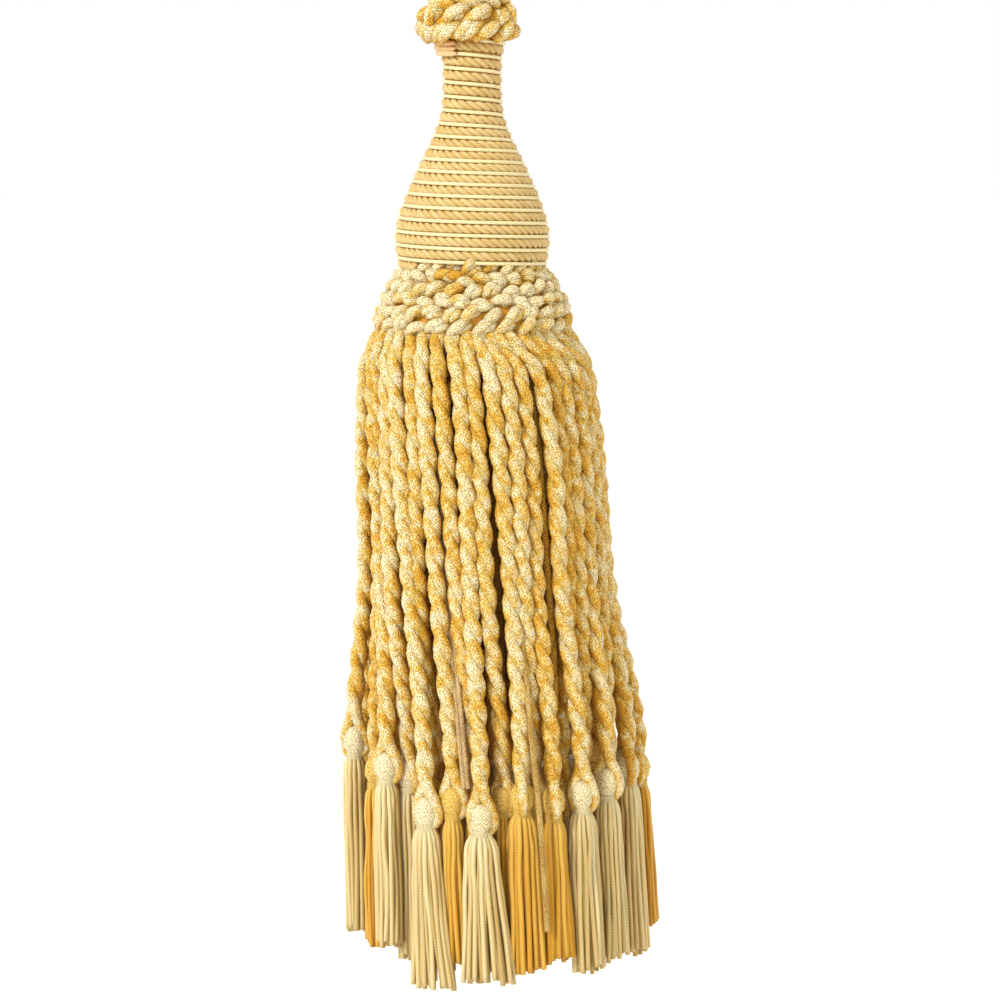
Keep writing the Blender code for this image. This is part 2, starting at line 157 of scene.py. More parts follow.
Stop = namedtuple("Stop", "azimuth reach drop")
INNER_OUTLINE = [  # the bundle of plain cords inside the skirt
    Section(103.8, 18.3),
    Section(107, 18.7),
    Section(112, 20.9),
    Section(119, 23.9),
    Section(130, 26.0),
    Section(150, 27.4),
    Section(180, 28.2),
    Section(215, 26.4),
    Section(231, 23.8),
]
TAN_ROUTE = [
    Stop(-25.5, 20.6, 103.9),
    Stop(-25.5, 20.8, 107),
    Stop(-25.5, 23.2, 112),
    Stop(-25.5, 26.8, 119),
    Stop(-25.2, 29.4, 130),
    Stop(-23.2, 31, 148),
    Stop(-20.8, 32.4, 168),
    Stop(-17.4, 34.7, 190),
    Stop(-14.5, 37.8, 212),
    Stop(-12.2, 39.4, 234),
]
DARK_ROUTE = [
    Stop(34.3, 20.6, 103.9),
    Stop(34.3, 20.8, 107),
    Stop(34.3, 23.2, 112),
    Stop(34.3, 26.8, 119),
    Stop(34.3, 29.4, 130),
    Stop(34.3, 31.6, 150),
    Stop(34.3, 32.8, 175),
    Stop(34, 33.4, 200),
    Stop(32.5, 34.2, 218),
    Stop(30.5, 35.4, 232),
]
LOOSE_ROUTE = [
    Stop(15.7, 20.6, 103.9),
    Stop(15.7, 20.8, 107),
    Stop(15.7, 23.2, 112),
    Stop(15.6, 27, 119),
    Stop(15.5, 29.8, 130),
    Stop(15.4, 32.6, 150),
    Stop(15.3, 35.6, 175),
    Stop(15.3, 39.2, 200),
    Stop(15.4, 42.4, 218),
    Stop(15.8, 44.8, 233),
    Stop(16.2, 45.7, 243),
    Stop(16.8, 46, 256),
    Stop(17.6, 46, 275),
]

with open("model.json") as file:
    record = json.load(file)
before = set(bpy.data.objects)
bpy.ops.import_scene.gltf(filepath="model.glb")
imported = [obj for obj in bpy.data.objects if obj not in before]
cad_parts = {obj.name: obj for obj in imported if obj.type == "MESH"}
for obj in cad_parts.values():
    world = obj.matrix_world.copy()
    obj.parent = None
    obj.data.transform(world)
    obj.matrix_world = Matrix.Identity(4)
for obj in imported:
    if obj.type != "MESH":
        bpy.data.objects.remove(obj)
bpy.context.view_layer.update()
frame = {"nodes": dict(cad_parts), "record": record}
random = np.random.default_rng(SEED)


# ---- lines

FINE_POINTS = 40  # for each given point of a line


def unit(vectors):
    return vectors / np.linalg.norm(vectors, axis=-1, keepdims=True)


def eased(x, knots, values):
    """Values between the knots, on a smooth curve through them. knots rise."""
    knots, values = np.asarray(knots, float), np.asarray(values, float)
    slopes = np.gradient(values, knots, axis=0)
    at = np.clip(np.searchsorted(knots, x, side="right") - 1, 0, len(knots) - 2)
    width = knots[at + 1] - knots[at]
    t = np.clip((x - knots[at]) / width, 0, 1)
    if values.ndim > 1:
        t, width = t[:, None], width[:, None]
    return (
        (1 + 2 * t) * (1 - t) ** 2 * values[at]
        + t * (1 - t) ** 2 * width * slopes[at]
        + t * t * (3 - 2 * t) * values[at + 1]
        + t * t * (t - 1) * width * slopes[at + 1]
    )


def lengths_along(line):
    return np.concatenate([[0], np.cumsum(np.linalg.norm(np.diff(line, axis=0), axis=1))])


def resampled(line, step):
    """The same line with its points evenly spaced, about a step apart."""
    along = lengths_along(line)
    count = max(int(round(along[-1] / step)), 1) + 1
    at = np.linspace(0, along[-1], count)
    return np.stack([np.interp(at, along, line[:, k]) for k in range(3)], axis=1)


def smooth_line(points, step):
    """Evenly spaced points on a smooth curve through the given ones."""
    points = np.asarray(points, float)
    knots = lengths_along(points)
    fine = eased(np.linspace(0, knots[-1], FINE_POINTS * len(points)), knots, points)
    return resampled(fine, step)


def outward_at(azimuth):
    turn = np.radians(azimuth)
    return np.stack([np.sin(turn), -np.cos(turn), np.zeros_like(turn)], axis=-1)


def across_at(azimuth):
    turn = np.radians(azimuth)
    return np.stack([np.cos(turn), np.sin(turn), np.zeros_like(turn)], axis=-1)


def skirt_points(azimuth, reach, drop):
    """Places in the skirt, from degrees and mm to metres in the object's frame."""
    azimuth, reach, drop = (np.asarray(x, float) for x in (azimuth, reach, drop))
    lean = np.interp(drop, *np.transpose(SKIRT_LEAN))
    points = outward_at(azimuth) * reach[..., None]
    points[..., 0] += lean
    points[..., 2] -= drop
    return points * MM


def cord_reach(layer, drop):
    return np.interp(drop, *np.transpose(CORD_OUTLINE)) - layer * np.interp(drop, *np.transpose(INNER_STEPS))


def swung(angle, first, second):
    """What lies at an angle from the first direction towards the second."""
    return np.cos(angle)[:, None] * first + np.sin(angle)[:, None] * second


def uneven(amount, shape):
    """Random factors that stray from 1 by about an amount."""
    return 1 + amount * random.normal(size=shape).clip(-2, 2)


def wandering(count, step, run):
    """Numbers from 0 to 1 that change smoothly along a line, about once in a run."""
    knots = np.arange(0, count * step + 2 * run, run)
    values = random.random(len(knots))
    return np.clip(eased(np.arange(count) * step, knots, values), 0, 1)


# ---- meshes

WHOLE = 10**6  # more rings than any strand has: its whole length is one cell
CELL_MARGIN, CAP_SIZE = 0.06, 0.02  # shares of a cell in the baked picture


class Strands:
    """Tubes and turned shapes gathered into one mesh. Each corner knows its place on its strand, in
    stitches round and along, and each point its tint from 0 cream to 1 gold."""

    def __init__(self):
        self.points, self.faces, self.stitches, self.tints = [], [], [], []
        self.cells, self.cell_places, self.materials = [], [], []
        self.point_count = self.cell_count = 0

    def add(self, rings, tints, stitches, material=0, cell_rings=WHOLE):
        """A surface through rings of points, with its ends filled. rings is (rings, sides, 3), tints
        a number a ring or a point, and stitches the numbers of stitches round and up to each ring."""
        count, sides = rings.shape[:2]
        around, along = stitches
        i, j = np.meshgrid(np.arange(count - 1), np.arange(sides), indexing="ij")
        i, j = i.ravel(), j.ravel()
        after = (j + 1) % sides
        ring, above = i * sides, (i + 1) * sides
        quads = np.stack([ring + j, ring + after, above + after, above + j], 1)
        round_at = np.stack([j, j + 1, j + 1, j], 1) / sides
        ring_at = np.stack([i, i, i + 1, i + 1], 1)
        places = np.stack([round_at * around, along[ring_at], np.zeros_like(round_at)], 2)
        cell = i // cell_rings
        in_cell = (ring_at - (cell * cell_rings)[:, None]) / min(cell_rings, count - 1)
        local = np.stack([round_at, in_cell], 2)
        self.faces += (quads + self.point_count).tolist()
        self.stitches.append(places.reshape(-1, 3))
        self.cells.append(np.repeat(cell + self.cell_count, 4))
        self.cell_places.append(local.reshape(-1, 2))
        self.materials += [material] * len(quads)
        last = (count - 1) * sides
        turn = 2 * np.pi * np.arange(sides) / sides
        cap = 0.5 + CAP_SIZE * np.stack([np.cos(turn), np.sin(turn)], 1)
        for end in (range(sides - 1, -1, -1), range(last, last + sides)):
            self.faces.append([point + self.point_count for point in end])
            self.stitches.append(np.zeros((sides, 3)))
            self.cell_places.append(cap)
            self.cells.append(np.full(sides, self.cell_count))
            self.materials.append(material)
        self.points.append(rings.reshape(-1, 3))
        self.tints.append(np.broadcast_to(tints, (count, sides)).ravel())
        self.point_count += count * sides
        self.cell_count += int(cell[-1]) + 1

    def tube(
        self, line, facing, radii, sides, tints, stitch, cell_rings=WHOLE, relief=0, far_side_shade=0, material=0
    ):
        """A round strand along a line. facing is where its first side looks, relief is how unevenly its
        surface lies, and its far side, turned from facing, may be painted more golden as shade."""
        tangent = unit(np.gradient(line, axis=0))
        out = unit(facing - (facing * tangent).sum(-1, keepdims=True) * tangent)
        side = np.cross(tangent, out)
        turn = 2 * np.pi * np.arange(sides) / sides
        ring = swung(turn, out[:, None], side[:, None])
        radii = np.broadcast_to(radii, len(line))[:, None, None]
        if relief:
            radii = radii * uneven(relief, (len(line), sides, 1))
        rings = line[:, None] + radii * ring
        # painted shade: the side turned away from facing is made more golden
        tints = np.broadcast_to(tints, len(line))[:, None] + far_side_shade * (1 - np.cos(turn)) / 2
        around, length = stitch
        stitches = (around, 2 * random.integers(PATTERN_STARTS) + lengths_along(line) / length)
        self.add(rings, tints, stitches, material, cell_rings)

    def mesh(self, name):
        made = bpy.data.meshes.new(name)
        made.from_pydata(np.concatenate(self.points), [], self.faces)
        weave = made.attributes.new("stitches", "FLOAT_VECTOR", "CORNER")
        weave.data.foreach_set("vector", np.concatenate(self.stitches).astype(np.float32).ravel())
        tint = made.attributes.new("tint", "FLOAT", "POINT")
        tint.data.foreach_set("value", np.concatenate(self.tints).astype(np.float32))
        made.polygons.foreach_set("material_index", np.array(self.materials, np.int32))
        columns = math.ceil(math.sqrt(self.cell_count))
        rows = math.ceil(self.cell_count / columns)
        cells, local = np.concatenate(self.cells), np.concatenate(self.cell_places)
        corner = np.stack([cells % columns, cells // columns], 1)
        flat = (corner + CELL_MARGIN + (1 - 2 * CELL_MARGIN) * local) / (columns, rows)
        layer = made.uv_layers.new(name="OFBake")
        layer.uv.foreach_set("vector", flat.astype(np.float32).ravel())
        made.shade_smooth()
        return made


def piece(name, strands, looks, slot, *nodes):
    """A shown piece on the one body, standing for its CAD nodes."""
    made = bpy.data.objects.new(name, strands.mesh(name))
    for look in looks:
        made.data.materials.append(look)
    bpy.context.scene.collection.objects.link(made)
    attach(made, BODY)
    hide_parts(*nodes)
    return made


def turned(strands, axis_point, profile, sides, tint, stitch, share=1.0):
    """A turned shape about a vertical line, in the piece's second material. profile is (height, radius)
    from top to bottom, and share each point's share of the radius. Its sides run clockwise from above,
    so its faces look outwards."""
    turn = -2 * np.pi * np.arange(sides) / sides
    profile = np.asarray(profile, float)
    height, radius = profile[:, :1], profile[:, 1:]
    reach = radius * share * np.ones_like(turn)
    rings = np.stack([reach * np.sin(turn), -reach * np.cos(turn), height * np.ones_like(turn)], axis=2)
    along = lengths_along(np.stack([profile[:, 1], 0 * profile[:, 1], profile[:, 0]], 1))
    around, length = stitch
    strands.add(rings + axis_point, tint, (around, along / length), material=1)


# ---- materials

WHITE = (1.0, 0.89, 0.62)
CREAM = (0.95, 0.77, 0.40)
PALE = (0.92, 0.66, 0.20)
GOLD = (0.86, 0.52, 0.055)
DEEP = (0.79, 0.41, 0.018)
# the colour that painted shade in seams, grooves and between fibres darkens towards; in a plait it also
# gives each stitch its own random darkness
SHADE_AND_TONE_COLOUR = (0.46, 0.385, 0.235)
FIBRE = {  # a silky fibre's gloss, and the light that goes through it
    "Sheen Weight": 0.15,
    "Sheen Roughness": 0.4,
    "Sheen Tint": (1.0, 0.90, 0.68, 1),
    "Specular IOR Level": 0.45,
    "Subsurface Weight": 0.35,
    "Subsurface Radius": (0.9, 0.55, 0.2),
    "Subsurface Scale": 1.5 * MM,
}
BLOTCHES_ROUND, BLOTCHES_A_STITCH = 0.5, 0.42
LATTICE_FINENESS, LATTICE_BEND = 0.9, 1.5  # how a plait's lattice wavers
PILLOW_EDGE = 0.5  # below 1, a stitch is flat on top and steep at its seams
PILLOW_SHADE = 0.58  # the height at which a stitch has its own colour; below it, painted shade darkens the stitch towards its seams
PILLOW_HEIGHT, FIBRE_HEIGHT = 0.8, 0.5
FIBRE_FINENESS = 1.7  # fibres across a stitch
# how dark the painted shadows between a plait's fibres are
GRAIN = 1.5
SEAM_SHADE = 0.9  # how dark the painted shade in the seams between stitches is
ROUGHNESS, ROUGHNESS_SPREAD = 0.38, 0.3


class Nodes:
    """Short names for a material's node tree."""

    def __init__(self, name):
        self.material = bpy.data.materials.new(name)
        self.material.use_nodes = True
        self.tree = self.material.node_tree
        self.shader = self.tree.nodes["Principled BSDF"]

    def node(self, kind, **settings):
        made = self.tree.nodes.new(kind)
        for key, value in settings.items():
            setattr(made, key, value)
        return made

    def link(self, start, socket):
        self.tree.links.new(start, socket)

    def set(self, node, values):
        for socket, value in values.items():
            node.inputs[socket].default_value = value

    def maths(self, operation, *values):
        made = self.node("ShaderNodeMath", operation=operation)
        for number, value in enumerate(values):
            if isinstance(value, (int, float)):
                made.inputs[number].default_value = value
            else:
                self.link(value, made.inputs[number])
        return made.outputs[0]

    def times(self, *values):
        return self.maths("MULTIPLY", *values)

    def plus(self, *values):
        return self.maths("ADD", *values)

    def scaled(self, value, size):
        """A value from 0 to 1, spread evenly about 0 over a size."""
        return self.times(self.maths("SUBTRACT", value, 0.5), size)

    def place(self):
        """The stitches round and along, and the tint."""
        stitches = self.node("ShaderNodeAttribute", attribute_name="stitches")
        split = self.node("ShaderNodeSeparateXYZ")
        self.link(stitches.outputs["Vector"], split.inputs[0])
        tint = self.node("ShaderNodeAttribute", attribute_name="tint")
        return split.outputs[0], split.outputs[1], tint.outputs["Fac"]

    def ramp(self, value, stops):
        made = self.node("ShaderNodeValToRGB")
        self.link(value, made.inputs[0])
        elements = made.color_ramp.elements
        while len(elements) < len(stops):
            elements.new(0.5)
        for element, (at, colour) in zip(elements, stops):
            element.position = at
            element.color = (*colour, 1)
        return made.outputs["Color"]

    def with_shade_and_tone(self, colour, share):
        """The surface's colour, darkened towards a brown where share is 0: painted shade, and in a plait
        also each stitch's own random darkness.
        """
        made = self.node("ShaderNodeMix", data_type="RGBA", blend_type="MULTIPLY")
        self.link(self.maths("SUBTRACT", 1.0, share), made.inputs["Factor"])
        self.link(colour, made.inputs["A"])
        made.inputs["B"].default_value = (*SHADE_AND_TONE_COLOUR, 1)
        self.link(made.outputs["Result"], self.shader.inputs["Base Color"])

    def vector(self, *parts):
        made = self.node("ShaderNodeCombineXYZ")
        for number, part in enumerate(parts):
            self.link(part, made.inputs[number])
        return made.outputs[0]

    def noise(self, place, dimensions, detail, roughness):
        """Soft noise from 0 to 1, one patch to a unit of place."""
        made = self.node("ShaderNodeTexNoise", noise_dimensions=dimensions)
        self.set(made, {"Scale": 1.0, "Detail": detail, "Roughness": roughness})
        self.link(place, made.inputs["Vector"])
        return made.outputs[0]

    def fibres(self, around, along, fineness):
        """Uneven fibres from 0 to 1, fineness to a stitch."""
        across = self.times(around, fineness)
        place = self.vector(across, self.times(along, 1.3 * fineness))
        return self.noise(place, "2D", 1.0, 0.5)

    def blotches(self, around, along, stitches_round):
        """Patches a few stitches long that join up round the strand, from 0 to 1."""
        turn = self.times(around, 2 * math.pi / stitches_round)
        circle = [self.maths(side, turn) for side in ("COSINE", "SINE")]
        circle = [self.times(side, BLOTCHES_ROUND) for side in circle]
        place = self.vector(*circle, self.times(along, BLOTCHES_A_STITCH))
        return self.noise(place, "3D", 2.0, 0.6)

    def bump(self, height, depth, strength):
        made = self.node("ShaderNodeBump")
        self.set(made, {"Distance": depth, "Strength": strength})
        self.link(height, made.inputs["Height"])
        self.link(made.outputs["Normal"], self.shader.inputs["Normal"])

    def fibre(self, roughness):
        self.set(self.shader, FIBRE)
        self.shader.inputs["Roughness"].default_value = roughness



def braided(name, stitches_round, stops, speckle, blotching, depth, grain_share=GRAIN):
    """A plaited cord: pillows in an uneven diamond lattice, each its own shade and gloss, with fine fibres,
    and painted shade in the seams and the low parts of pillows and fibres. speckle and blotching are how
    much the tint changes from stitch to stitch and in patches, and grain_share is how dark the painted
    shadows of its fibres are."""
    make = Nodes(name)
    around, along, tint = make.place()
    bend = make.scaled(make.fibres(around, along, LATTICE_FINENESS), LATTICE_BEND)
    rising = make.plus(make.plus(around, along), bend)
    falling = make.maths("SUBTRACT", make.maths("SUBTRACT", around, along), bend)
    ridges = [make.maths("SINE", make.times(x, math.pi)) for x in (rising, falling)]
    pillow = make.maths("POWER", make.maths("ABSOLUTE", make.times(*ridges)), PILLOW_EDGE)
    cell = make.vector(make.maths("FLOOR", rising), make.maths("FLOOR", falling))
    noise = make.node("ShaderNodeTexWhiteNoise", noise_dimensions="3D")
    make.link(cell, noise.inputs["Vector"])
    own = make.scaled(noise.outputs["Value"], speckle)
    patches = make.scaled(make.blotches(around, along, stitches_round), blotching)
    colour = make.ramp(make.plus(tint, make.plus(own, patches)), stops)
    grain = make.fibres(around, along, FIBRE_FINENESS)
    relief = make.plus(make.times(pillow, PILLOW_HEIGHT), make.times(grain, FIBRE_HEIGHT))
    # painted shade: lower parts of pillows and fibres are darker; own is each stitch's random darkness
    shade = make.plus(make.maths("SUBTRACT", relief, own), make.scaled(grain, grain_share))
    seam_shade = make.times(make.maths("SUBTRACT", pillow, PILLOW_SHADE), SEAM_SHADE)
    make.with_shade_and_tone(colour, make.plus(shade, seam_shade))
    make.bump(relief, depth, 1.0)
    make.fibre(ROUGHNESS)
    own_share = make.times(noise.outputs["Value"], ROUGHNESS_SPREAD)
    roughness = make.plus(own_share, ROUGHNESS - 0.6 * ROUGHNESS_SPREAD)
    make.link(roughness, make.shader.inputs["Roughness"])
    return make.material


def plied(name, stops, turns, depth, rough=0.36, ridge_shade=0.4):
    """A twisted thread: slanting ridges with painted shade between them, and a tint. turns is how many
    ridges there are round it.
    """
    make = Nodes(name)
    around, along, tint = make.place()
    phase = make.plus(make.times(around, turns), along)
    wave = make.maths("SINE", make.times(phase, math.pi))
    ridge = make.maths("POWER", make.maths("ABSOLUTE", wave), 0.7)
    share = make.plus(make.times(ridge, ridge_shade), 1 - ridge_shade)
    make.with_shade_and_tone(make.ramp(tint, stops), share)
    make.bump(ridge, depth, 0.7)
    make.fibre(rough)
    return make.material


VARIEGATED_STOPS = [(0.0, WHITE), (0.28, CREAM), (0.5, PALE), (0.74, GOLD), (1.0, DEEP)]
variegated = braided("variegated_braid", CORD_STITCH[0], VARIEGATED_STOPS, 0.28, 2.15, 0.24 * MM)
BACKING_STOPS = [(0.0, (0.72, 0.40, 0.06)), (1.0, (0.6, 0.3, 0.03))]
RUFF_BACKING_STOPS = [(0.0, (0.80, 0.42, 0.03)), (1.0, (0.7, 0.34, 0.02))]
ROPE_STOPS = [(0.0, (0.76, 0.59, 0.29)), (1.0, (0.67, 0.47, 0.18))]
CREAM_CORD_STOPS = [(0.0, (0.95, 0.85, 0.54)), (1.0, (0.90, 0.78, 0.45))]
backing = plied("dark_backing", BACKING_STOPS, 1, 0.1 * MM)
ruff_backing = plied("gold_backing", RUFF_BACKING_STOPS, 1, 0.1 * MM)
gold_rope = plied("gold_rope", ROPE_STOPS, 1, 0.06 * MM, 0.28)
cream_cord = plied("cream_cord", CREAM_CORD_STOPS, 2, 0.08 * MM)
YARN_STOPS = {
    "cream_yarn": [(0.0, (0.93, 0.80, 0.48)), (0.4, (0.76, 0.58, 0.26)), (1.0, (0.45, 0.29, 0.06))],
    "gold_yarn": [(0.0, (0.90, 0.57, 0.12)), (0.4, (0.73, 0.37, 0.013)), (1.0, (0.46, 0.20, 0.004))],
}
yarn_looks = {slot: plied(slot, stops, 1, 0.3 * MM, 0.4, 0.65) for slot, stops in YARN_STOPS.items()}
BALL_STOPS = {
    "cream_yarn": [(0.0, (1.0, 0.92, 0.66)), (0.4, (0.92, 0.77, 0.40)), (1.0, (0.62, 0.43, 0.11))],
    "gold_yarn": [(0.0, (0.94, 0.66, 0.17)), (0.4, (0.79, 0.43, 0.017)), (1.0, (0.54, 0.24, 0.005))],
}
ball_looks = {
    slot: braided(slot + "_ball", BALL_STITCH[0], stops, 0.2, 0.5, 0.2 * MM, grain_share=0.5)
    for slot, stops in BALL_STOPS.items()
}
TAN_STOPS = [(0.0, (0.84, 0.64, 0.36)), (1.0, (0.64, 0.44, 0.20))]
DARK_GOLD_STOPS = [(0.0, (0.86, 0.52, 0.06)), (1.0, (0.64, 0.34, 0.02))]
GOLD_STOPS = [(0.0, (0.76, 0.55, 0.19)), (1.0, (0.55, 0.34, 0.07))]
INNER_STOPS = [(0.0, (0.66, 0.37, 0.06)), (1.0, (0.42, 0.20, 0.018))]
tan_look = braided("tan_braid", PLAIN_STITCH[0], TAN_STOPS, 0.3, 0.8, 0.3 * MM)
dark_look = braided("dark_gold_braid", PLAIN_STITCH[0], DARK_GOLD_STOPS, 0.4, 0.8, 0.4 * MM)
gold_look = braided("gold_braid", PLAIN_STITCH[0], GOLD_STOPS, 0.3, 0.8, 0.3 * MM)
inner_look = braided("inner_braid", BUNDLE_STITCH[0], INNER_STOPS, 0.4, 0.8, 0.3 * MM)
GLUED_STOPS = [(0.0, (0.86, 0.60, 0.34)), (1.0, (0.80, 0.50, 0.24))]
glued_tan = plied("glued_end_tan", GLUED_STOPS, 1, 0.05 * MM, 0.5)


# ---- plain cords

ROUTE_POINTS = 24  # for each stop of a route
ROUTE_STEP = 0.5 * MM
PLAIN_SIDES = 10
PLAIN_RELIEF = 0.03


def route_line(stops):
    """Evenly spaced points on a smooth curve through the stops."""
    knots = skirt_points(*np.transpose(stops))
    padded = np.concatenate([[2 * knots[0] - knots[1]], knots, [2 * knots[-1] - knots[-2]]])
    t = np.linspace(0, 1, ROUTE_POINTS, endpoint=False)[:, None]
    fine = []
    for a, b, c, d in zip(padded, padded[1:], padded[2:], padded[3:]):
        bends = (2 * a - 5 * b + 4 * c - d) * t * t + (3 * b - a - 3 * c + d) * t**3
        fine.append(0.5 * (2 * b + (c - a) * t + bends))
    return resampled(np.concatenate([*fine, knots[-1:]]), ROUTE_STEP)


PlainCord = namedtuple("PlainCord", "name route radius strand_gap look slot node")
PLAIN_CORDS = [
    PlainCord("tan_double_cord", TAN_ROUTE, 0.72 * MM, 1.3 * MM, tan_look, "tan_cord", "plain_cord_tan"),
    PlainCord("dark_gold_cord", DARK_ROUTE, 1.15 * MM, 0, dark_look, "dark_gold_cord", "plain_cord_dark"),
    PlainCord("loose_gold_cord", LOOSE_ROUTE, 0.85 * MM, 0, gold_look, "gold_cord", "loose_cord_gold"),
]


def plain_cord(kind):
    line = route_line(kind.route)
    azimuths, _, drops = np.transpose(kind.route)
    azimuth = np.interp(-line[:, 2] / MM, drops, azimuths)
    strands = Strands()
    offsets = (-0.5, 0.5) if kind.strand_gap else (0,)
    for offset in offsets:
        beside = line + offset * kind.strand_gap * across_at(azimuth)
        tints = wandering(len(line), ROUTE_STEP, TINT_RUN)
        strands.tube(
            beside, outward_at(azimuth), kind.radius, PLAIN_SIDES, tints, PLAIN_STITCH, PLAIN_CELL_RINGS,
            relief=PLAIN_RELIEF,
        )
    made = piece(kind.name, strands, [kind.look], kind.slot, kind.node)


for kind in PLAIN_CORDS:
    plain_cord(kind)


# ---- small tassels

SmallTassel = namedtuple("SmallTassel", "ball hem spread azimuth slot")
RING_TOLERANCE = 0.1 * MM


def corners_of(node):
    mesh = frame["nodes"][node].data
    points = np.empty(len(mesh.vertices) * 3, np.float32)
    mesh.vertices.foreach_get("co", points)
    return np.unique(points.reshape(-1, 3).astype(float).round(6), axis=0)


def read_tassel(number):
    """Where a small tassel's ball and hem are, from its CAD node's first and last rings."""
    node = f"tassel_{number + 1:02d}"
    points = corners_of(node)
    top = points[points[:, 2] > points[:, 2].max() - RING_TOLERANCE]
    bottom = points[points[:, 2] < points[:, 2].min() + RING_TOLERANCE]
    ball = top.mean(0) - [0, 0, BALL_HALF_HEIGHT]
    hem = bottom.mean(0)
    spread = np.linalg.norm(bottom - hem, axis=1).max()
    slots = {row["node"]: row["material_slot"] for row in frame["record"]["subparts"]}
    centre_x = np.interp(-ball[2] / MM, *np.transpose(SKIRT_LEAN)) * MM
    azimuth = math.degrees(math.atan2(ball[0] - centre_x, -ball[1]))
    return SmallTassel(ball, hem, spread, azimuth, slots[node])


BALL_PROFILE = [  # height above the ball's middle and reach from its axis, in mm
    (4.2, 0.7),
    (3.9, 1.6),
    (3.3, 2.3),
    (2.4, 2.85),
    (1.3, 3.2),
    (0.0, 3.4),
    (-1.3, 3.35),
    (-2.4, 3.1),
    (-3.3, 2.65),
    (-4.2, 2.2),
    (-5.6, 2.1),
]
BALL_SIDES = 20
BALL_RELIEF = 0.045
BALL_TINTS = (-0.25, 0.1)
NECK_WRAPS = (-4.2, -4.8, -5.4)
NECK_REACH = 2.4 * MM
NECK_THREAD = 0.38 * MM
NECK_TINT = -0.3
NECK_TILT = 0.12
SHOULDER_DROPS = (4.6, 6.0, 7.6, 10.0)  # mm below the ball's middle: the yarns fan out at once
SHOULDER_SHARES = (0.42, 0.54, 0.7, 0.78)  # of the hem's half width
SHOULDER_DEPTHS = (1.7, 2.2, 2.7, 2.9)  # mm, and from there to the hem
YARN_DROPS = (*SHOULDER_DROPS, 13, 20, 34)
YARN_START = 5.0  # mm below the ball's middle
YARN_THINNING = ((5, 0.72), (8, 0.95), (13, 1.0))  # mm below the ball's middle, share of the radius
HEM_SHARE = 1.12
HEM_DEPTH = 2.6 * MM
HEM_INSET, HEM_SPREAD = 0.5, 0.8  # mm from the CAD hem's edge, and that the yarns' lengths vary by
SWAY = 0.3  # mm that a yarn's end hangs aside
YARN_STRAY, YARN_SHARES = 0.15, (0.95, 1.03)  # of the space between two yarns, and of the way out
YARN_TINT, YARN_TINT_SPREAD = 0.2, 0.12
SHOULDER_HIGHLIGHT, HIGHLIGHT_RUN = 0.4, 6  # painted highlight: how much paler the yarns are made under the neck, and for how many mm
# Rings of yarns from outside to inside: share of the way out, share of the count, sides, step.
YARN_RINGS = ((1.0, 1, 6, 1.6 * MM), (0.82, 1, 4, 4 * MM), (0.45, 0.5, 4, 6 * MM))
SPLAYED = {4: 3.4, 8: 2.2, 2: -1.0}  # mm that a front tassel's hem reaches further to the right


def small_tassel(number, tassel):
    strands = Strands()
    ball(strands, tassel)
    neck(strands, tassel)
    yarns(strands, tassel, SPLAYED.get(number, 0))
    name = f"{number + 1:02d}"
    looks = [yarn_looks[tassel.slot], ball_looks[tassel.slot]]
    piece("small_tassel_" + name, strands, looks, tassel.slot, "tassel_" + name)


def ball(strands, tassel):
    """The head of a small tassel: yarn wound close over a core, a little uneven."""
    heights, reaches = np.array(BALL_PROFILE).T * MM
    shares = uneven(BALL_RELIEF, (len(heights), BALL_SIDES))
    profile = np.stack([heights, reaches], 1)
    tint = random.uniform(*BALL_TINTS)
    turned(strands, tassel.ball, profile, BALL_SIDES, tint, BALL_STITCH, shares)


def neck(strands, tassel):
    """Thin thread bound round under the ball."""
    turn = np.linspace(0, 2 * np.pi, 17)
    out = np.stack([np.cos(turn), np.sin(turn), 0 * turn], 1)
    tilt = random.uniform(-NECK_TILT, NECK_TILT, 2)
    for height in NECK_WRAPS:
        ring = tassel.ball + NECK_REACH * out
        ring[:, 2] += height * MM + NECK_REACH * (tilt[0] * out[:, 0] + tilt[1] * out[:, 1])
        strands.tube(ring, out, NECK_THREAD, 6, NECK_TINT, YARN_STITCH)


def yarns(strands, tassel, splay):
    """The hanging yarns: a full outer ring and plainer ones inside it."""
    length = tassel.ball[2] - tassel.hem[2]
    around, deep = tassel.spread - YARN_RADIUS, HEM_DEPTH
    rim = math.pi * (3 * (around + deep) - math.sqrt((3 * around + deep) * (around + 3 * deep)))
    outer = int(rim / YARN_SPACING)
    for ring, part, sides, step in YARN_RINGS:
        count = int(outer * part)
        start = random.random()
        for number in range(count):
            turn = 2 * math.pi * (number + start + random.uniform(-YARN_STRAY, YARN_STRAY)) / count
            share = ring * random.uniform(*YARN_SHARES)
            own_length = length + random.normal(0, HEM_SPREAD) * MM
            one_yarn(strands, tassel, turn, share, own_length, splay, sides, step)


